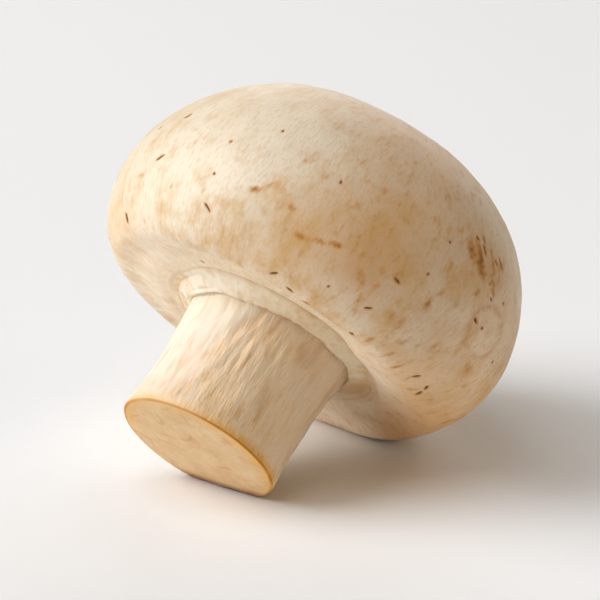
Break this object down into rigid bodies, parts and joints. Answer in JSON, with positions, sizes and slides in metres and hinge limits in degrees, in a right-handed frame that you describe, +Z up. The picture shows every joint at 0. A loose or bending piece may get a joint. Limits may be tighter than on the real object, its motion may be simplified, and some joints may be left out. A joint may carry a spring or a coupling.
{
  "type": "button mushroom",
  "caption": "Closed-cup button mushroom lying on its side: domed cap, rolled lip with a torn veil under it, and a short stem with a flat cut end.",
  "frame": {"origin": "on the surface that the mushroom lies on, under the middle of its bounding box", "axes": "+Z up from the surface; the stem points towards -Y and down, and the cap faces +Y and up; +X across the stem, along the mushroom's longest side"},
  "size_m": [0.0518, 0.0465, 0.0439],
  "materials": {
    "flesh": "matt, slightly silky skin, cream to pale tan, with fine fibres and brown bruises; tan cut face"
  },
  "bodies": {
    "root": {"mushroom": "flesh"}
  },
  "joints": []
}
